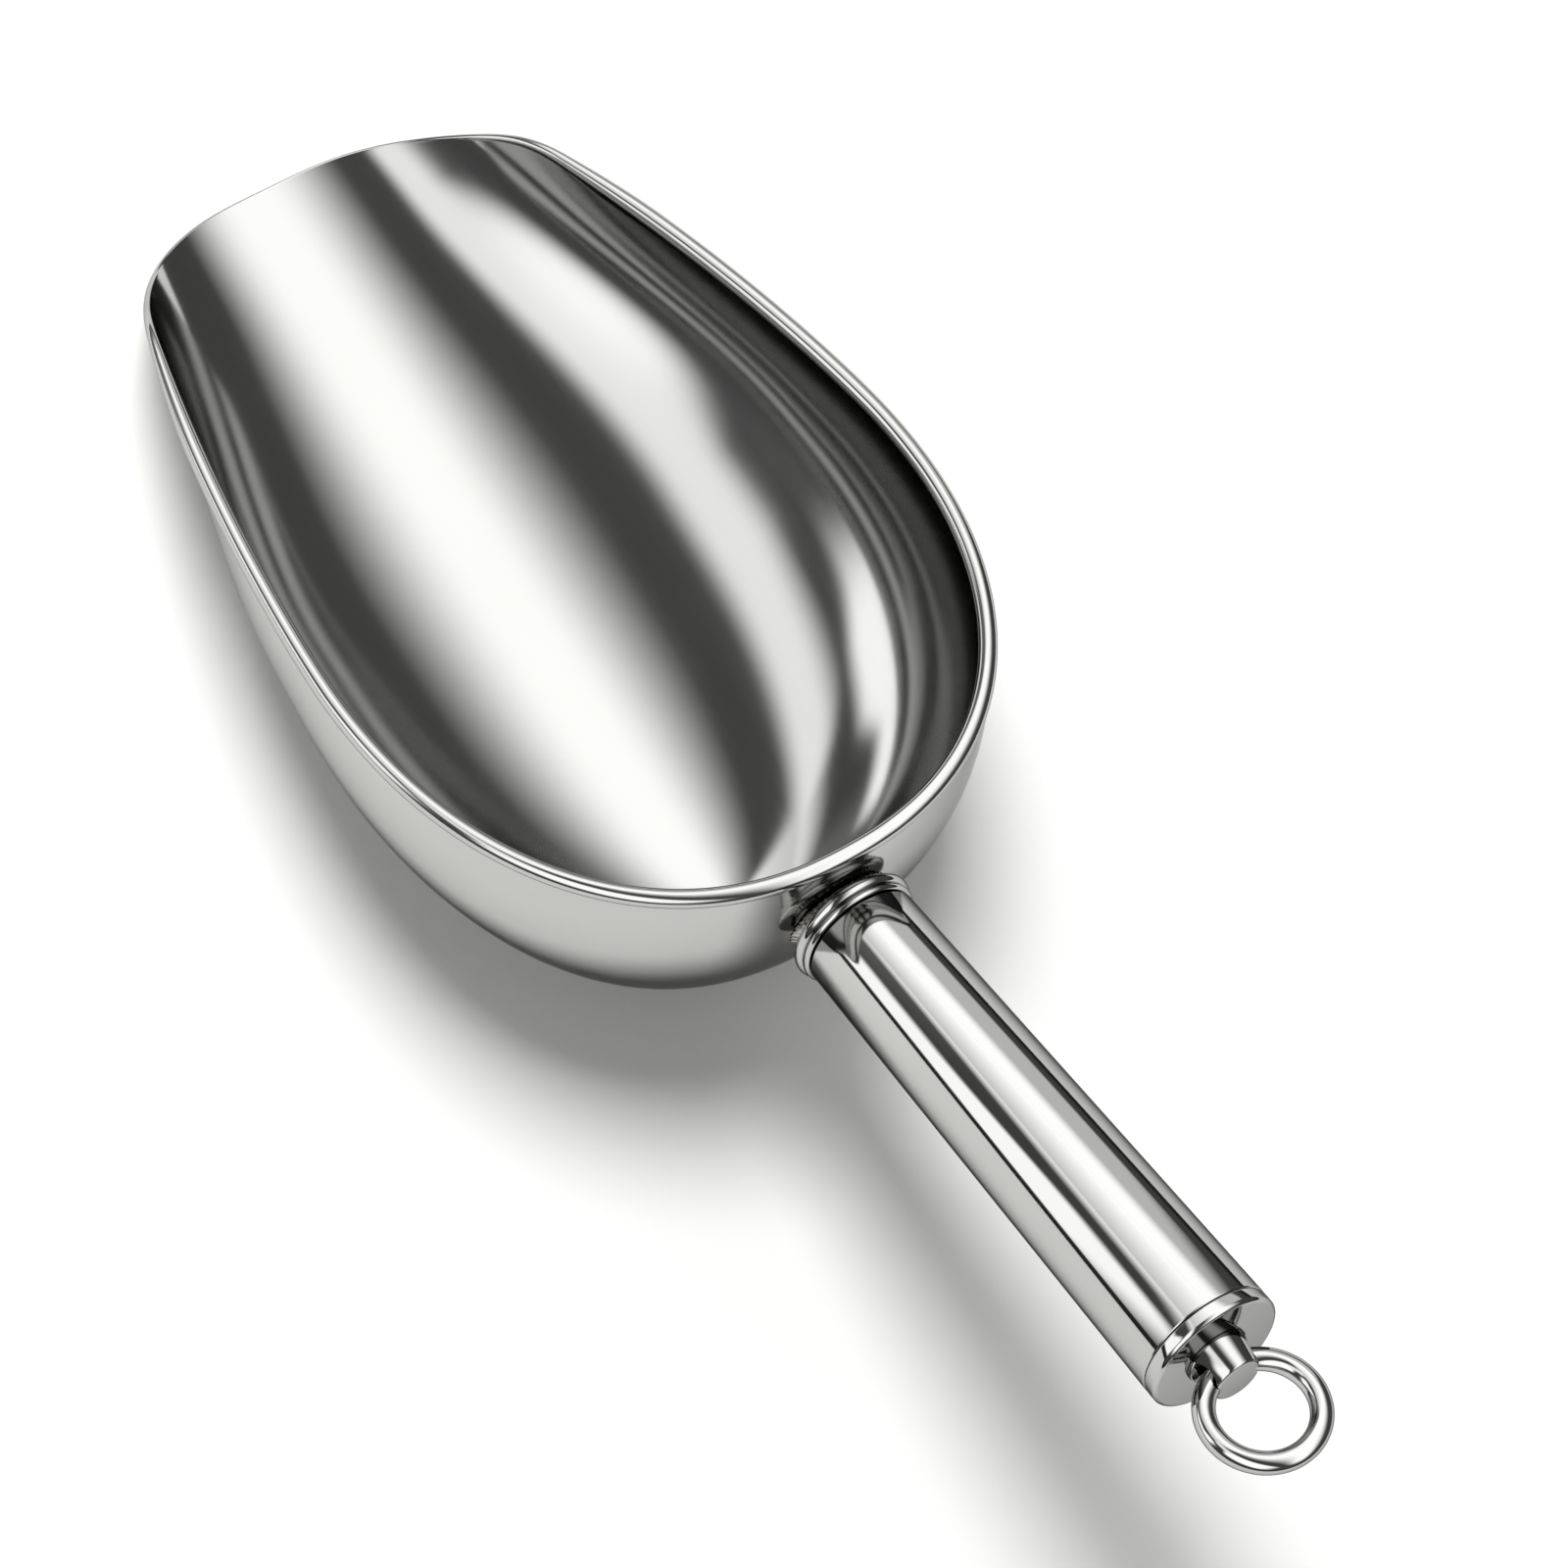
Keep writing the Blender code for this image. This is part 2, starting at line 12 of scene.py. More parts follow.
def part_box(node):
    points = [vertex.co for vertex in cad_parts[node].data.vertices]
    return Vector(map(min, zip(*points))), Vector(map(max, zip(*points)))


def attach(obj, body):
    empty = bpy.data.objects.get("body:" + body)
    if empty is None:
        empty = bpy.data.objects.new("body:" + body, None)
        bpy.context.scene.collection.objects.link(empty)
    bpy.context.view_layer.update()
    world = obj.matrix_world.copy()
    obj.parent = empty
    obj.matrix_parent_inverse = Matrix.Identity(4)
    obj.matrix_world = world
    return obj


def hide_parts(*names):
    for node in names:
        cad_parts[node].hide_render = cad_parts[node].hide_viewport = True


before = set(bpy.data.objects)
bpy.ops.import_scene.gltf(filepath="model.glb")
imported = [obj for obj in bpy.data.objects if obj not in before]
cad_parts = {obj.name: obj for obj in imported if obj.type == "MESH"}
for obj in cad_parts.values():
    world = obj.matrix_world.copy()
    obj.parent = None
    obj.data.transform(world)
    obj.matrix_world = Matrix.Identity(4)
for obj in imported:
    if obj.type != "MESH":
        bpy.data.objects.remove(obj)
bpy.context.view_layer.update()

# ---------------------------------------------------------------- sizes, in metres
# Bowl, inside face of the sheet, laid out with the lip at y = 0 and the keel at z = 0.
SHEET = 0.0008
BOWL_LENGTH = 0.1377
BOWL_HALF_WIDTH = 0.0452
WIDEST_Y = 0.0825
LIP_WIDTH_RATIO = 0.78
FRONT_TAPER_POWER = 1.44
BACK_ROUND_POWER = 2.23
SECTION_DEPTH = 0.0536
SECTION_POWER = 2.85
FRONT_POWER_LIMIT = 14.0
WALL_BULGE = 0.0050
KEEL_END_EASE = 0.112
LIP_EASE = 0.024
RIM_FRONT_HEIGHT = 0.0124
RIM_BACK_HEIGHT = 0.0535
RIM_ARCH = 0.0012
LIP_CUT_LENGTH = 0.0168
LIP_CUT_POWER = 1.43
LIP_CORNER_EASE = 0.0062
RIM_ROLL_RADIUS = 0.00135
RIM_ROLL_PROUD = 0.0003
ROLL_START_Y = 0.003
ROLL_FULL_Y = 0.040

# Handle and its fittings, along the handle axis from the front of the tube.
HANDLE_START_BEHIND_BOWL = 0.0094
HANDLE_START_HEIGHT = 0.0400
HANDLE_TILT = math.radians(19.0)
TUBE_LENGTH = 0.0776
TUBE_FRONT_RADIUS = 0.00855
TUBE_BACK_RADIUS = 0.0100
TUBE_WALL = 0.0010
TUBE_EDGE_RADIUS = 0.00022
COLLAR_LENGTH = 0.0028
COLLAR_FRONT_RIDGE = 0.0094
COLLAR_BACK_RIDGE = 0.0090
COLLAR_GROOVE = 0.0083
NECK_RADIUS = 0.0070
NECK_SPIGOT_LENGTH = 0.012
WELD_LEG = 0.0007
WELD_HOLLOW = 0.42
WELD_CLEARANCE = 0.00002
CAP_BAND = 0.0014
CAP_EDGE_RADIUS = 0.00065
CAP_SEAM_RADIUS = 0.0002
CAP_WALL = 0.0012
CAP_SPIGOT_LENGTH = 0.0065
WASHER_THICKNESS = 0.0010
STUD_FOOT_RADIUS = 0.0047
STUD_TOP_RADIUS = 0.0037
STUD_HEIGHT = 0.0045
STUD_FOOT_EDGE = 0.00015
STUD_TOP_EDGE = 0.0005
STUD_SHANK_RADIUS = 0.0020
STUD_TAIL_LENGTH = 0.0009
HOLE_HEIGHT = 0.0021
HOLE_MOUTH_REACH = 0.0003
HOLE_FLARE = 1.06
RING_WIRE_RADIUS = 0.0016
RING_RADIUS = 0.0077
RING_DROOP = math.radians(2.0)
HOLE_PLAY = 0.00018

# Gaps between touching pieces: as in the CAD, and drawn closer where the seam is seen.
GAP = 0.0003
SEAM = GAP * 0.4
WELD_SEAM = GAP * 0.35
STUD_SEAM = GAP * 0.2
WELD_GROWTH = GAP * 0.8

# Mesh steps.
RIM_STEPS = 400
WALL_STEPS = 52
ROLL_STEPS = 18
ROUND_STEPS = 144
STUD_STEPS = 96
HOLE_STEPS = 48
RING_STEPS = 160
WIRE_STEPS = 32
WELD_STEPS = 288
SECTION_STEPS = 600
HALVINGS = 40
ON_AXIS = 1e-9

# The frame's origin is the bottom centre of the whole scoop, so the lip is found from the bowl's box.
SHIFT = Vector((0.0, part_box("bowl")[0].y + SHEET / 2.0, SHEET))

AXIS = Vector((0.0, math.cos(HANDLE_TILT), math.sin(HANDLE_TILT)))
UPRIGHT = Vector((0.0, -math.sin(HANDLE_TILT), math.cos(HANDLE_TILT)))
ACROSS = Vector((1.0, 0.0, 0.0))
START = SHIFT + Vector((0.0, BOWL_LENGTH + HANDLE_START_BEHIND_BOWL, HANDLE_START_HEIGHT))


# ---------------------------------------------------------------- camera
VIEW_AZIMUTH = math.radians(118.59)
VIEW_ELEVATION = math.radians(66.39)
VIEW_ROLL = math.radians(30.60)
VIEW_DISTANCE = 0.900
VIEW_TARGET = SHIFT + Vector((-0.01022, 0.11906, 0.020))
LENS_MM = 147.3
SENSOR_MM = 36.0


def add_camera():
    back = Vector((
        math.sin(VIEW_AZIMUTH) * math.cos(VIEW_ELEVATION),
        -math.cos(VIEW_AZIMUTH) * math.cos(VIEW_ELEVATION),
        math.sin(VIEW_ELEVATION),
    ))
    level = Vector((math.cos(VIEW_AZIMUTH), math.sin(VIEW_AZIMUTH), 0.0))
    up = back.cross(level)
    right = level * math.cos(VIEW_ROLL) + up * math.sin(VIEW_ROLL)
    top = up * math.cos(VIEW_ROLL) - level * math.sin(VIEW_ROLL)
    data = bpy.data.cameras.new("view")
    data.lens = LENS_MM
    data.sensor_width = SENSOR_MM
    data.clip_start = 0.01
    camera = bpy.data.objects.new("view", data)
    bpy.context.scene.collection.objects.link(camera)
    camera.matrix_world = Matrix.Translation(VIEW_TARGET + back * VIEW_DISTANCE) @ Matrix((
        (right.x, top.x, back.x, 0.0),
        (right.y, top.y, back.y, 0.0),
        (right.z, top.z, back.z, 0.0),
        (0.0, 0.0, 0.0, 1.0),
    ))
    bpy.context.scene.camera = camera


# ---------------------------------------------------------------- node helpers
class Nodes:
    """Small wrapper that adds and links shader nodes."""

    def __init__(self, tree):
        self.tree = tree

    def add(self, kind, **values):
        node = self.tree.nodes.new(kind)
        for name, value in values.items():
            setattr(node, name, value)
        return node

    def put(self, socket, value):
        """Link a socket or set a number; None leaves the input alone."""
        if isinstance(value, bpy.types.NodeSocket):
            self.tree.links.new(value, socket)
        elif value is not None:
            socket.default_value = value

    def math(self, operation, first, second=None):
        node = self.add("ShaderNodeMath", operation=operation)
        self.put(node.inputs[0], first)
        self.put(node.inputs[1], second)
        return node.outputs[0]

    def product(self, first, *others):
        for other in others:
            first = self.math("MULTIPLY", first, other)
        return first

    def span(self, value, low, high, to_low=0.0, to_high=1.0, smooth=True):
        """Ramp from to_low at low to to_high at high, level beyond both."""
        node = self.add("ShaderNodeMapRange")
        node.interpolation_type = "SMOOTHSTEP" if smooth else "LINEAR"
        self.put(node.inputs["Value"], value)
        self.put(node.inputs["From Min"], low)
        self.put(node.inputs["From Max"], high)
        self.put(node.inputs["To Min"], to_low)
        self.put(node.inputs["To Max"], to_high)
        return node.outputs["Result"]

    def window(self, value, low, low_soft, high, high_soft):
        """One between low and high, nought outside, with soft edges."""
        rise = self.span(value, low - low_soft, low + low_soft)
        fall = self.span(value, high - high_soft, high + high_soft, 1.0, 0.0)
        return self.math("MULTIPLY", rise, fall)


# ---------------------------------------------------------------- studio
MAIN_LEVEL = 1.45
MAIN_SPILL = 0.10
SIDE_LEVEL = 1.55
SIDE_LEVEL_BACK = 1.22
SIDE_EDGE = 33.5
FILL_LEVELS = (1.6, 0.62)
WING_LEVEL = 0.68
LOW_LEVEL = 1.45
LOW_EDGE = 65.0
DARK_LEVELS = (0.150, 0.048)
LEAST_LEVEL = 0.02
LATER_BOUNCE = 0.45
DIFFUSE_SHARE = 0.45


def soft_boxes(n, a, b):
    """Brightness by direction, in degrees: a leans from +Z to +X, and b rises towards +Y.

    Every box is a long strip that runs along the scoop. The side box widens in two steps as b
    rises, and the fill and the wing stand well out on the lip's side, where b is low.
    """
    widening = n.math("ADD", n.span(b, -31.0, -25.0, 0.0, 10.0), n.span(b, -17.0, -1.0, 0.0, 22.0))
    past_edge = n.math("SUBTRACT", a, n.math("ADD", widening, SIDE_EDGE))
    lip_side = n.product(n.span(b, -70.0, -56.0), n.span(b, -30.0, -22.0, 1.0, 0.0))

    main = n.math("ADD", n.span(a, -60.0, -30.0, 0.0, MAIN_LEVEL), n.span(a, -62.0, -55.0, 0.0, MAIN_SPILL))
    main = n.product(main, n.span(a, -20.0, 10.5, 1.0, 0.0), n.window(b, -70.0, 12.0, 62.0, 14.0))

    side = n.product(n.span(a, 19.0, 29.0), n.span(past_edge, -8.0, 8.0, 1.0, 0.0))
    side = n.product(side, n.window(b, -60.0, 8.0, 55.0, 14.0))
    side = n.product(side, n.span(b, -12.0, -6.0, SIDE_LEVEL_BACK, SIDE_LEVEL))

    fill = n.product(n.span(a, -22.0, -14.0), n.span(past_edge, -2.0, 3.0, 1.0, 0.0), lip_side)
    fill = n.product(fill, n.span(a, -16.0, 36.0, *FILL_LEVELS, smooth=False))

    wing = n.product(n.window(a, -76.0, 3.0, -40.0, 6.0), lip_side, WING_LEVEL)

    low_edge = n.math("SUBTRACT", n.span(b, -27.0, -20.0, 0.0, 8.0), n.span(b, -41.0, -32.0, 0.0, 11.0))
    past_low_edge = n.math("SUBTRACT", a, n.math("ADD", low_edge, LOW_EDGE))
    low = n.product(n.span(past_low_edge, -6.0, 6.0), n.span(a, 97.0, 105.0, 1.0, 0.0))
    low = n.product(low, n.window(b, -60.0, 8.0, -19.0, 6.0), LOW_LEVEL)

    level = n.span(b, -60.0, -40.0, *DARK_LEVELS)
    for box in (main, side, fill, wing, low):
        level = n.math("MAXIMUM", level, box)
    return level


def build_world():
    """Soft boxes in a dark room for the steel, and a plain white room for the camera."""
    world = bpy.data.worlds.new("studio")
    bpy.context.scene.world = world
    world.use_nodes = True
    tree = world.node_tree
    tree.nodes.clear()
    n = Nodes(tree)
    coord = n.add("ShaderNodeTexCoord")
    split = n.add("ShaderNodeSeparateXYZ")
    tree.links.new(coord.outputs["Generated"], split.inputs[0])
    x, y, z = split.outputs
    degrees = 180.0 / math.pi
    a = n.product(n.math("ARCTAN2", x, z), degrees)
    b = n.product(n.math("ARCSINE", y), degrees)
    rise = n.product(n.math("ARCSINE", z), degrees)
    sky = n.product(soft_boxes(n, a, b), n.span(rise, 0.5, 3.0))
    sky = n.math("ADD", sky, LEAST_LEVEL)
    # Light that has already been thrown about inside the bowl arrives weaker. So does the
    # boxes' light on the matt floor, which is lit by the key light.
    light_path = n.add("ShaderNodeLightPath")
    later = n.span(light_path.outputs["Ray Depth"], 2.4, 2.6, 1.0, LATER_BOUNCE, smooth=False)
    diffuse = n.span(light_path.outputs["Is Diffuse Ray"], 0.0, 1.0, 1.0, DIFFUSE_SHARE, smooth=False)
    seen = light_path.outputs["Is Camera Ray"]
    unseen = n.math("SUBTRACT", 1.0, seen)
    value = n.math("ADD", n.product(sky, later, diffuse, unseen), seen)
    background = n.add("ShaderNodeBackground")
    tree.links.new(value, background.inputs["Strength"])
    background.inputs["Color"].default_value = (1.0, 1.0, 0.995, 1.0)
    output = n.add("ShaderNodeOutputWorld")
    tree.links.new(background.outputs[0], output.inputs["Surface"])


KEY_PLACE = Vector((0.02, -0.72, 2.0))
KEY_SIZE = 0.90
KEY_POWER = 40.0
FLOOR_RADIUS = 0.7


def add_key():
    """One large round light over the lip that gives the shadow and is not mirrored in the steel."""
    data = bpy.data.lights.new("key", "AREA")
    data.shape = "DISK"
    data.size = KEY_SIZE
    data.energy = KEY_POWER
    light = bpy.data.objects.new("key", data)
    bpy.context.scene.collection.objects.link(light)
    light.location = KEY_PLACE
    light.rotation_euler = (-KEY_PLACE).to_track_quat("-Z", "Y").to_euler()
    light.visible_glossy = False


def add_floor():
    mesh = bpy.data.meshes.new("floor")
    shape = bmesh.new()
    bmesh.ops.create_circle(shape, cap_ends=True, radius=FLOOR_RADIUS, segments=96)
    shape.to_mesh(mesh)
    shape.free()
    floor = bpy.data.objects.new("floor", mesh)
    bpy.context.scene.collection.objects.link(floor)
    material = bpy.data.materials.new("floor_paper")
    material.use_nodes = True
    shader = material.node_tree.nodes["Principled BSDF"]
    shader.inputs["Base Color"].default_value = (0.90, 0.90, 0.89, 1.0)
    shader.inputs["Roughness"].default_value = 0.9
    shader.inputs["Specular IOR Level"].default_value = 0.0
    mesh.materials.append(material)


# ---------------------------------------------------------------- steel
# Noise scales are cycles per metre: polishing lines, smears of handling, and a faint waviness.
LINE_SCALE = 900.0
SMEAR_SCALE = 38.0
WAVE_SCALE = 160.0
SMEAR_TINT = 0.985
RELIEF = 0.00002


def steel(name, colour, roughness, line_axis, line_share=0.25, smear=0.03, bump=0.010, edge=0.12):
    """Polished stainless steel: lines along the work, soft smears that dull it, faint waviness."""
    material = bpy.data.materials.new(name)
    material.use_nodes = True
    tree = material.node_tree
    shader = tree.nodes["Principled BSDF"]
    n = Nodes(tree)
    coord = n.add("ShaderNodeTexCoord")

    def noise(scale, stretch, detail=2.0, rough=0.55):
        mapping = n.add("ShaderNodeMapping")
        mapping.inputs["Scale"].default_value = stretch
        tree.links.new(coord.outputs["Object"], mapping.inputs["Vector"])
        texture = n.add("ShaderNodeTexNoise")
        texture.inputs["Scale"].default_value = scale
        texture.inputs["Detail"].default_value = detail
        texture.inputs["Roughness"].default_value = rough
        tree.links.new(mapping.outputs[0], texture.inputs["Vector"])
        return texture.outputs["Fac"]

    lines = noise(LINE_SCALE, line_axis)
    smears = noise(SMEAR_SCALE, (1.0, 0.7, 1.0), 5.0, 0.6)
    waves = noise(WAVE_SCALE, (1.0, 1.0, 1.0))
    tint = n.add("ShaderNodeMix", data_type="RGBA")
    tree.links.new(n.span(smears, 0.30, 0.75, SMEAR_TINT, 1.0), tint.inputs["Factor"])
    tint.inputs["A"].default_value = (0.0, 0.0, 0.0, 1.0)
    tint.inputs["B"].default_value = (*colour, 1.0)
    tree.links.new(tint.outputs["Result"], shader.inputs["Base Color"])
    dull = n.math("ADD", roughness, n.product(n.span(smears, 0.45, 0.75), smear))
    lined = n.product(n.math("SUBTRACT", lines, 0.5), roughness * line_share)
    tree.links.new(n.math("ADD", dull, lined), shader.inputs["Roughness"])
    relief = n.add("ShaderNodeBump")
    relief.inputs["Strength"].default_value = bump
    relief.inputs["Distance"].default_value = RELIEF
    height = n.math("ADD", n.product(lines, 0.7), n.product(waves, 0.3))
    tree.links.new(height, relief.inputs["Height"])
    tree.links.new(relief.outputs["Normal"], shader.inputs["Normal"])
    shader.inputs["Metallic"].default_value = 1.0
    shader.inputs["Specular Tint"].default_value = (edge, edge, edge, 1.0)
    return material


# ---------------------------------------------------------------- mesh helpers
def add_piece(name, points, faces, material, body, replaces, sharp=30.0):
    """Closed mesh with its faces turned outwards, riding on a body in place of a CAD node."""
    mesh = bpy.data.meshes.new(name)
    shell = bmesh.new()
    verts = [shell.verts.new(point) for point in points]
    for face in faces:
        corners = []
        for index in face:
            if verts[index] not in corners:
                corners.append(verts[index])
        if len(corners) > 2:
            shell.faces.new(corners)
    bmesh.ops.recalc_face_normals(shell, faces=shell.faces)
    if shell.calc_volume(signed=True) < 0.0:
        bmesh.ops.reverse_faces(shell, faces=shell.faces)
    shell.to_mesh(mesh)
    shell.free()
    obj = bpy.data.objects.new(name, mesh)
    bpy.context.scene.collection.objects.link(obj)
    mesh.materials.append(material)
    mesh.shade_smooth()
    mesh.set_sharp_from_angle(angle=math.radians(sharp))
    if body:
        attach(obj, body)
    if replaces:
        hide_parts(replaces)
    return obj


def on_handle(along, radius, turn):
    """Point at a distance along the handle axis, off it by radius, turned from +X upwards."""
    side = ACROSS * math.cos(turn) + UPRIGHT * math.sin(turn)
    return START + AXIS * along + side * radius


def lathe(name, profile, material, body, replaces, sharp=30.0, steps=ROUND_STEPS):
    """Closed profile of (along, radius) turned about the handle axis."""
    points = []
    rings = []
    for along, radius in profile:
        if radius < ON_AXIS:
            points.append(on_handle(along, 0.0, 0.0))
            rings.append([len(points) - 1] * steps)
            continue
        ring = []
        for step in range(steps):
            points.append(on_handle(along, radius, 2.0 * math.pi * step / steps))
            ring.append(len(points) - 1)
        rings.append(ring)
    faces = []
    count = len(rings)
    on_axis = profile[0][1] < ON_AXIS
    for index in range(count - 1 if on_axis else count):
        here = rings[index]
        there = rings[(index + 1) % count]
        for step in range(steps):
            after = (step + 1) % steps
            faces.append((here[step], here[after], there[after], there[step]))
    return add_piece(name, points, faces, material, body, replaces, sharp)


def arc(centre_along, centre_radius, radius, first, last, steps):
    """Points of an arc in the (along, radius) plane, between two angles in degrees."""
    result = []
    for step in range(steps + 1):
        turn = math.radians(first + (last - first) * step / steps)
        result.append((
            centre_along + radius * math.cos(turn),
            centre_radius + radius * math.sin(turn),
        ))
    return result


# ---------------------------------------------------------------- bowl
def half_width(y):
    if y < WIDEST_Y:
        share = (WIDEST_Y - y) / WIDEST_Y
        return BOWL_HALF_WIDTH * (1.0 - (1.0 - LIP_WIDTH_RATIO) * share ** FRONT_TAPER_POWER)
    share = min((y - WIDEST_Y) / (BOWL_LENGTH - WIDEST_Y), 1.0)
    return BOWL_HALF_WIDTH * (1.0 - share ** BACK_ROUND_POWER) ** (1.0 / BACK_ROUND_POWER)


def rim_line(y):
    """Height of the long rim over the keel, seen from the side."""
    share = y / BOWL_LENGTH
    straight = RIM_FRONT_HEIGHT + (RIM_BACK_HEIGHT - RIM_FRONT_HEIGHT) * share
    return straight + RIM_ARCH * 4.0 * share * (1.0 - share)


def smooth(value, low, high):
    share = min(max((value - low) / (high - low), 0.0), 1.0)
    return share * share * (3.0 - 2.0 * share)


def cut_height(y):
    """Rim height with the lip's cut, before the corner between the two is eased."""
    left = max(1.0 - max(y, 0.0) / LIP_CUT_LENGTH, 0.0)
    return rim_line(y) * (1.0 - left ** LIP_CUT_POWER) ** (1.0 / LIP_CUT_POWER)


def rim_height(y):
    """Edge height: the lip cut running into the long rim over an eased corner."""
    reach = LIP_CORNER_EASE * smooth(y, 0.002, 0.012)
    if y > LIP_CUT_LENGTH + LIP_CORNER_EASE:
        return rim_line(y)
    total = 0.0
    weight = 0.0
    for step in range(-4, 5):
        share = 1.0 - (step / 5.0) ** 2
        total += share * cut_height(y + reach * step / 4.0)
        weight += share
    return total / weight


def keel_point(y):
    """Where on the keel the wall line that ends at y on the rim starts."""
    if y > KEEL_END_EASE:
        return y - (y - KEEL_END_EASE) ** 2 / (2.0 * (BOWL_LENGTH - KEEL_END_EASE))
    if y < LIP_EASE:
        return y + (LIP_EASE - y) ** 2 / (2.0 * LIP_EASE)
    return y


def keel_height(y):
    """Height of the middle line, which is flat until the back of the bowl turns up."""
    end = keel_point(BOWL_LENGTH)
    if y <= end:
        return 0.0
    spread = min((y - end) / (BOWL_LENGTH - end), 1.0)
    return SECTION_DEPTH * (1.0 - (1.0 - spread ** 2) ** (1.0 / SECTION_POWER))


def plan_normal(x, y):
    """Outward direction of the bowl's plan outline, in the plane of the floor."""
    if y < WIDEST_Y:
        step = 1e-6
        slope = (half_width(y + step) - half_width(max(y - step, 0.0))) / (2.0 * step)
        normal = Vector((1.0, -slope))
    else:
        across = x / BOWL_HALF_WIDTH
        along = (y - WIDEST_Y) / (BOWL_LENGTH - WIDEST_Y)
        power = BACK_ROUND_POWER - 1.0
        normal = Vector((
            across ** power / BOWL_HALF_WIDTH,
            along ** power / (BOWL_LENGTH - WIDEST_Y),
        ))
    return normal.normalized()


def reach_share(height):
    """Share of the half width that the plain back section reaches at the given height."""
    share = min(height / SECTION_DEPTH, 1.0)
    return math.sqrt(1.0 - (1.0 - share) ** SECTION_POWER)


def front_section(y):
    """Width and power that keep the floor of the trough equally round forward of the widest point."""
    reach = half_width(y) * reach_share(rim_line(y))
    left = 1.0 - rim_line(y) / SECTION_DEPTH
    wanted = SECTION_POWER * BOWL_HALF_WIDTH ** 2
    low = SECTION_POWER
    high = FRONT_POWER_LIMIT
    for _ in range(HALVINGS):
        power = (low + high) / 2.0
        if power * reach ** 2 / (1.0 - left ** power) < wanted:
            low = power
        else:
            high = power
    return reach / math.sqrt(1.0 - left ** power), power


SECTION_SHAPES = [front_section(WIDEST_Y * index / SECTION_STEPS) for index in range(SECTION_STEPS + 1)]


def section_shape(y):
    """Width and power of the section at y, read between the sections worked out above."""
    if y >= WIDEST_Y:
        return half_width(y), SECTION_POWER
    place = max(y, 0.0) / WIDEST_Y * SECTION_STEPS
    index = min(int(place), SECTION_STEPS - 1)
    share = place - index
    width, power = SECTION_SHAPES[index]
    next_width, next_power = SECTION_SHAPES[index + 1]
    return width + (next_width - width) * share, power + (next_power - power) * share


def edge_angle(edge_y):
    """Wall angle at which the inside face reaches the rim height."""
    reach = reach_share(rim_height(edge_y))
    if edge_y < WIDEST_Y:
        reach *= half_width(edge_y) / section_shape(edge_y)[0]
    return math.asin(min(reach, 1.0))


def bowl_point(edge_y, share):
    """Point of the inside face on the wall line from the keel (0) to edge_y on the rim (1)."""
    angle = edge_angle(edge_y) * share
    keel = keel_point(edge_y)
    spread = math.sin(angle)
    if edge_y < WIDEST_Y * 0.6:
        y = keel + (edge_y - keel) * share
        wall_y = y
    else:
        y = keel + (edge_y - keel) * spread
        wall_y = edge_y
    width, power = section_shape(wall_y)
    height = SECTION_DEPTH * (1.0 - max(math.cos(angle), 0.0) ** (2.0 / power))
    lift = min(height / rim_line(wall_y), 1.0)
    bulge = WALL_BULGE * 4.0 * lift * (1.0 - lift) * smooth(y, 0.012, 0.070)
    outward = plan_normal(half_width(wall_y), wall_y)
    return Vector((width * spread + bulge * outward.x, y + bulge * outward.y, height))


def wall_normal(edge_y, share):
    """Outward normal of the inside face, by small steps along and round the wall."""
    if edge_y < 1e-7:
        return Vector((0.0, 0.0, -1.0))
    step_y = 2e-5
    step_share = 2e-4
    low_y = max(edge_y - step_y, 0.0)
    high_y = min(edge_y + step_y, BOWL_LENGTH)
    round_step = bowl_point(high_y, share) - bowl_point(low_y, share)
    up_step = bowl_point(edge_y, share + step_share) - bowl_point(edge_y, share - step_share)
    if edge_y > BOWL_LENGTH - 1e-7:
        round_step = Vector((-1.0, 0.0, 0.0))
    return round_step.cross(up_step).normalized()


def edge_stations():
    """Y of the rim stations from the lip centre to the back centre, evenly spaced round."""
    fine = 2400
    ys = []
    for index in range(fine + 1):
        share = index / fine
        front = BOWL_LENGTH * share ** 3
        back = BOWL_LENGTH * (1.0 - (1.0 - share) ** 3)
        ys.append(front * (1.0 - share) + back * share)
    points = np.array([bowl_point(y, 1.0) for y in ys])
    steps = np.linalg.norm(np.diff(points, axis=0), axis=1)
    along = np.concatenate([[0.0], np.cumsum(steps)])
    wanted = np.linspace(0.0, along[-1], RIM_STEPS // 2 + 1)
    stations = np.interp(wanted, along, ys)
    stations[0] = 0.0
    stations[-1] = BOWL_LENGTH
    return [float(value) for value in stations]


def wall_path(edge_y, before, after, on_mirror):
    """Section line of one wall: up the inside face, round the rolled rim, down the outside."""
    inside = []
    outside = []
    for step in range(1, WALL_STEPS + 1):
        share = (step / WALL_STEPS) ** 0.9
        point = bowl_point(edge_y, share)
        inside.append(point)
        outside.append(point + wall_normal(edge_y, share) * SHEET)
    normal = wall_normal(edge_y, 1.0)
    along = (after - before).normalized()
    rise = along.cross(normal).normalized()
    if rise.dot(inside[-1] - inside[-2]) < 0.0:
        rise = rise * -1.0
    share = smooth(edge_y, ROLL_START_Y, ROLL_FULL_Y)
    radius = SHEET / 2.0 + (RIM_ROLL_RADIUS - SHEET / 2.0) * share
    proud = RIM_ROLL_PROUD * share
    start = math.acos((radius - proud) / radius)
    end = math.acos(max(min((SHEET - radius + proud) / radius, 1.0), -1.0))
    centre = inside[-1] + normal * (radius - proud)
    roll = []
    for step in range(ROLL_STEPS + 1):
        turn = math.pi + start - (math.pi + start + end) * step / ROLL_STEPS
        roll.append(centre + normal * radius * math.cos(turn) + rise * radius * math.sin(turn))
    path = inside[:-1] + roll + list(reversed(outside[:-1]))
    if on_mirror:
        path = [Vector((0.0, point.y, point.z)) for point in path]
    return path


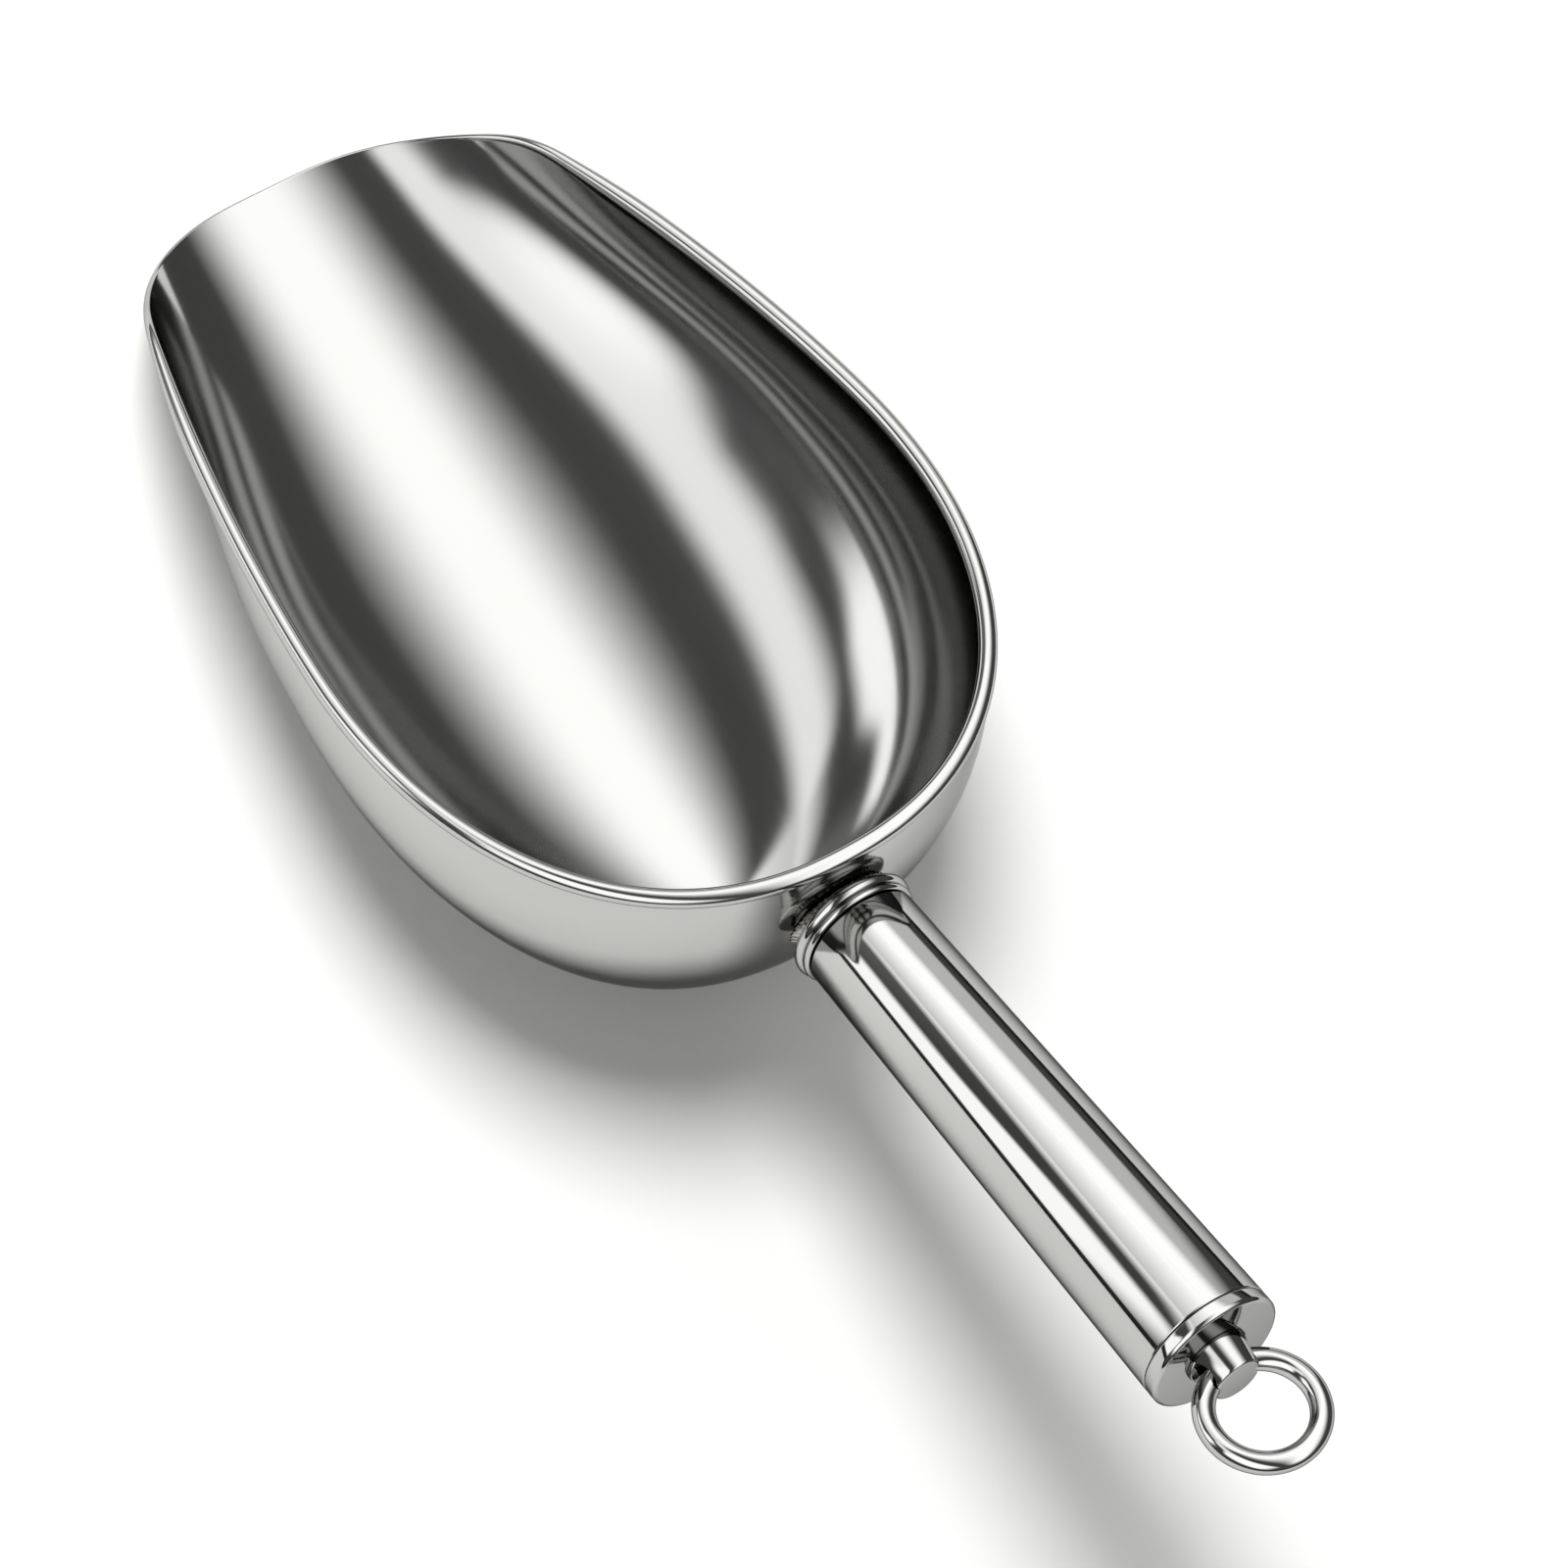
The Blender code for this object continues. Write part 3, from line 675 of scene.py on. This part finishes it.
def bowl_paths():
    """Wall paths of the right half, from the lip centre to the back centre."""
    stations = edge_stations()
    last = len(stations) - 1
    tops = [bowl_point(y, 1.0) for y in stations]
    paths = []
    for index, edge_y in enumerate(stations):
        before = tops[max(index - 1, 0)].copy()
        after = tops[min(index + 1, last)].copy()
        if index == 0:
            before = Vector((-after.x, after.y, after.z))
        if index == last:
            after = Vector((-before.x, before.y, before.z))
        paths.append(wall_path(edge_y, before, after, index in (0, last)))
    return paths


def build_bowl(material):
    paths = bowl_paths()
    last = len(paths) - 1
    points = []
    faces = []
    columns = []
    for index in range(RIM_STEPS):
        station = index if index <= last else RIM_STEPS - index
        side = -1.0 if index > last else 1.0
        column = []
        for point in paths[station]:
            points.append(SHIFT + Vector((point.x * side, point.y, point.z)))
            column.append(len(points) - 1)
        columns.append(column)
    rows = len(columns[0])
    for index in range(RIM_STEPS):
        here = columns[index]
        there = columns[(index + 1) % RIM_STEPS]
        for row in range(rows - 1):
            faces.append((here[row], there[row], there[row + 1], here[row + 1]))
    # Keel strips that join the right and left walls, inside and outside.
    for row in (0, rows - 1):
        middle = [columns[0][row]]
        for station in range(1, last):
            near = points[columns[station][row]]
            level = keel_height(near.y - SHIFT.y) - (0.0 if row == 0 else SHEET)
            points.append(Vector((0.0, near.y, SHIFT.z + level)))
            middle.append(len(points) - 1)
        middle.append(columns[last][row])
        for station in range(last):
            right = (columns[station][row], columns[station + 1][row])
            left = (
                columns[(RIM_STEPS - station) % RIM_STEPS][row],
                columns[RIM_STEPS - station - 1][row],
            )
            faces.append((middle[station], right[0], right[1], middle[station + 1]))
            faces.append((middle[station], left[0], left[1], middle[station + 1]))
    return add_piece("bowl_shell", points, faces, material, "scoop", "bowl", 60.0)


# ---------------------------------------------------------------- handle pieces
def cap_face():
    """Outer face of the end cap, along the handle axis."""
    return TUBE_LENGTH + GAP + CAP_BAND + CAP_EDGE_RADIUS


def build_tube(material):
    edge = TUBE_EDGE_RADIUS
    profile = [(0.0, TUBE_FRONT_RADIUS - TUBE_WALL)]
    profile += arc(edge, TUBE_FRONT_RADIUS - edge, edge, 180.0, 92.0, 5)
    profile += arc(TUBE_LENGTH - edge, TUBE_BACK_RADIUS - edge, edge, 88.0, 0.0, 5)
    profile += [(TUBE_LENGTH, TUBE_BACK_RADIUS - TUBE_WALL)]
    lathe("handle_tube_shell", profile, material, "scoop", "handle_tube")


def build_collar(material):
    bore = NECK_RADIUS + GAP
    front = -GAP - COLLAR_LENGTH
    ridge = COLLAR_LENGTH * 0.30
    low = COLLAR_LENGTH * 0.20
    profile = [(front, bore)]
    profile += arc(front + ridge, COLLAR_FRONT_RIDGE - ridge, ridge, 180.0, 20.0, 14)
    profile += [(front + 2.0 * ridge + 0.00003, COLLAR_GROOVE)]
    profile += arc(-GAP - low, COLLAR_BACK_RIDGE - low, low, 160.0, 0.0, 12)
    profile += [(-GAP, bore)]
    lathe("collar_ring", profile, material, "scoop", "collar", 40.0)


def bowl_face(bowl_tree, radius, turn):
    """Place along the handle axis where a line beside it meets the outside of the bowl."""
    start = COLLAR_LENGTH
    distance = bowl_tree.ray_cast(on_handle(start, radius, turn), -AXIS)[3]
    return start - distance


def build_neck(bowl_tree, material):
    steps = ROUND_STEPS
    spigot = TUBE_FRONT_RADIUS - TUBE_WALL - GAP
    points = []
    rings = []
    for share in (0.0, 0.5, 1.0):
        ring = []
        for step in range(steps if share else 1):
            turn = 2.0 * math.pi * step / steps
            along = bowl_face(bowl_tree, NECK_RADIUS * share, turn) + SEAM
            points.append(on_handle(along, NECK_RADIUS * share, turn))
            ring.append(len(points) - 1)
        rings.append(ring if share else ring * steps)
    end = NECK_SPIGOT_LENGTH
    for along, radius in ((GAP, NECK_RADIUS), (GAP, spigot), (end, spigot), (end, 0.0)):
        ring = []
        for step in range(steps if radius else 1):
            points.append(on_handle(along, radius, 2.0 * math.pi * step / steps))
            ring.append(len(points) - 1)
        rings.append(ring if radius else ring * steps)
    faces = []
    for here, there in zip(rings, rings[1:]):
        for step in range(steps):
            after = (step + 1) % steps
            faces.append((here[step], here[after], there[after], there[step]))
    add_piece("neck_stub", points, faces, material, "scoop", "neck")


def build_weld(bowl_tree, material):
    """Small hollow fillet with the faint ripples of a weld run."""
    inner = NECK_RADIUS + WELD_CLEARANCE
    points = []
    columns = []
    for step in range(WELD_STEPS):
        turn = 2.0 * math.pi * step / WELD_STEPS
        ripple = 1.0 + 0.10 * math.sin(46.0 * turn) + 0.06 * math.sin(19.0 * turn + 1.0)
        leg = (WELD_LEG + WELD_GROWTH) * ripple
        foot = bowl_face(bowl_tree, inner, turn) + WELD_SEAM
        toe = bowl_face(bowl_tree, inner + leg, turn) + WELD_SEAM
        column = [(foot, inner), (toe, inner + leg)]
        for bend in range(1, 8):
            share = bend / 8.0
            hollow = leg * WELD_HOLLOW * share * (1.0 - share)
            along = toe * (1.0 - share) + (foot + leg) * share - hollow
            column.append((along, inner + leg * (1.0 - share) - hollow))
        column.append((foot + leg, inner))
        ids = []
        for along, radius in column:
            points.append(on_handle(along, radius, turn))
            ids.append(len(points) - 1)
        columns.append(ids)
    faces = []
    count = len(columns[0])
    for step in range(WELD_STEPS):
        here = columns[step]
        there = columns[(step + 1) % WELD_STEPS]
        for index in range(count):
            after = (index + 1) % count
            faces.append((here[index], there[index], there[after], here[after]))
    add_piece("weld_fillet", points, faces, material, "scoop", "neck_weld", 50.0)


def build_cap(material):
    start = TUBE_LENGTH + SEAM
    face = cap_face()
    taper = (TUBE_BACK_RADIUS - TUBE_FRONT_RADIUS) / TUBE_LENGTH * CAP_SPIGOT_LENGTH
    spigot = TUBE_BACK_RADIUS - TUBE_WALL - GAP - taper
    hole = STUD_SHANK_RADIUS + GAP
    edge = CAP_EDGE_RADIUS
    profile = [(face, hole)]
    profile += arc(face - edge, TUBE_BACK_RADIUS - edge, edge, 0.0, 90.0, 10)
    seam = CAP_SEAM_RADIUS
    profile += arc(start + seam, TUBE_BACK_RADIUS - seam, seam, 90.0, 180.0, 4)
    profile += [
        (start, spigot),
        (start - CAP_SPIGOT_LENGTH, spigot),
        (start - CAP_SPIGOT_LENGTH, spigot - CAP_WALL),
        (face - CAP_WALL, spigot - CAP_WALL),
        (face - CAP_WALL, hole),
    ]
    lathe("cap_shell", profile, material, "scoop", "end_cap")


def hinge_place():
    """Centre of the stud's cross-hole, along the handle axis."""
    return cap_face() + GAP + HOLE_HEIGHT


def build_hole_cutter(material):
    """Waisted bore across the stud, wide enough at its mouths for the ring's own curve."""
    centre = START + AXIS * hinge_place()
    radius = RING_WIRE_RADIUS + HOLE_PLAY
    reach = STUD_FOOT_RADIUS + HOLE_MOUTH_REACH
    slices = 12
    points = []
    rings = []
    for index in range(-slices, slices + 1):
        x = reach * index / slices
        flare = (RING_RADIUS - math.sqrt(RING_RADIUS ** 2 - x * x)) * HOLE_FLARE
        ring = []
        for step in range(HOLE_STEPS):
            turn = 2.0 * math.pi * step / HOLE_STEPS
            out = max((radius + flare) * math.sin(turn), -radius)
            up = (radius + flare) * math.cos(turn)
            points.append(centre + ACROSS * x + AXIS * out + UPRIGHT * up)
            ring.append(len(points) - 1)
        rings.append(ring)
    faces = [tuple(rings[0]), tuple(rings[-1])]
    for here, there in zip(rings, rings[1:]):
        for step in range(HOLE_STEPS):
            after = (step + 1) % HOLE_STEPS
            faces.append((here[step], here[after], there[after], there[step]))
    return add_piece("stud_cutter", points, faces, material, None, None)


def build_stud(material):
    """Tapered stud on the cap with a shank through it, peened over the washer inside."""
    base = cap_face() + STUD_SEAM
    washer_face = cap_face() - CAP_WALL - 2.0 * GAP - WASHER_THICKNESS
    tail = washer_face - GAP
    top = cap_face() + GAP + STUD_HEIGHT
    foot = STUD_FOOT_EDGE
    edge = STUD_TOP_EDGE
    profile = [
        (tail - STUD_TAIL_LENGTH, 0.0),
        (tail - STUD_TAIL_LENGTH, STUD_SHANK_RADIUS * 0.9),
        (tail - STUD_TAIL_LENGTH / 2.0, STUD_SHANK_RADIUS * 1.6),
        (tail, STUD_SHANK_RADIUS * 1.6),
        (tail, STUD_SHANK_RADIUS),
        (base, STUD_SHANK_RADIUS),
    ]
    profile += arc(base + foot, STUD_FOOT_RADIUS - foot, foot, 180.0, 76.0, 5)
    profile += arc(top - edge, STUD_TOP_RADIUS - edge, edge, 76.0, 0.0, 8)
    profile += [(top, 0.0)]
    stud = lathe("stud_head", profile, material, None, None, 40.0, STUD_STEPS)
    cutter = build_hole_cutter(material)
    cut = stud.modifiers.new("hole", "BOOLEAN")
    cut.operation = "DIFFERENCE"
    cut.solver = "EXACT"
    cut.object = cutter
    bpy.context.view_layer.update()
    graph = bpy.context.evaluated_depsgraph_get()
    mesh = bpy.data.meshes.new_from_object(stud.evaluated_get(graph))
    stud.modifiers.clear()
    stud.data = mesh
    mesh.shade_smooth()
    mesh.set_sharp_from_angle(angle=math.radians(40.0))
    bpy.data.objects.remove(cutter, do_unlink=True)
    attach(stud, "scoop")
    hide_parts("ring_stud")


def build_ring(material):
    hinge = START + AXIS * hinge_place()
    out = AXIS * math.cos(RING_DROOP) - UPRIGHT * math.sin(RING_DROOP)
    flat = out.cross(ACROSS)
    points = []
    faces = []
    for step in range(RING_STEPS):
        turn = 2.0 * math.pi * step / RING_STEPS
        spoke = ACROSS * math.sin(turn) - out * math.cos(turn)
        centre = hinge + (out + spoke) * RING_RADIUS
        for side in range(WIRE_STEPS):
            lean = 2.0 * math.pi * side / WIRE_STEPS
            points.append(centre + spoke * RING_WIRE_RADIUS * math.cos(lean)
                          + flat * RING_WIRE_RADIUS * math.sin(lean))
    for step in range(RING_STEPS):
        after = (step + 1) % RING_STEPS
        for side in range(WIRE_STEPS):
            beside = (side + 1) % WIRE_STEPS
            faces.append((
                step * WIRE_STEPS + side,
                after * WIRE_STEPS + side,
                after * WIRE_STEPS + beside,
                step * WIRE_STEPS + beside,
            ))
    add_piece("ring_wire_loop", points, faces, material, "ring", "hanging_ring")


# ---------------------------------------------------------------- make everything
add_camera()
build_world()
add_floor()
add_key()

drawn = steel("drawn_steel_polished", (0.63, 0.63, 0.62), 0.115, (1.0, 0.02, 1.0), bump=0.0015, edge=0.50)
tube_steel = steel("tube_steel_polished", (0.64, 0.64, 0.63), 0.055, (1.0, 0.02, 0.35))
turned = steel("turned_steel_buffed", (0.62, 0.62, 0.61), 0.06, (0.3, 1.0, 0.3))
weld = steel(
    "weld_steel_brushed", (0.50, 0.49, 0.47), 0.22, (1.0, 1.0, 1.0), line_share=0.5, smear=0.1, bump=0.2
)
wire = steel("ring_wire_polished", (0.64, 0.64, 0.63), 0.06, (1.0, 1.0, 1.0))

bowl = build_bowl(drawn)
shell = bmesh.new()
shell.from_mesh(bowl.data)
tree = BVHTree.FromBMesh(shell)
shell.free()
build_weld(tree, weld)
build_neck(tree, turned)
build_collar(turned)
build_tube(tube_steel)
build_cap(tube_steel)
build_stud(turned)
build_ring(wire)
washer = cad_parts["stud_washer"]
washer.data.materials.clear()
washer.data.materials.append(turned)

bpy.context.scene.view_settings.view_transform = "Standard"
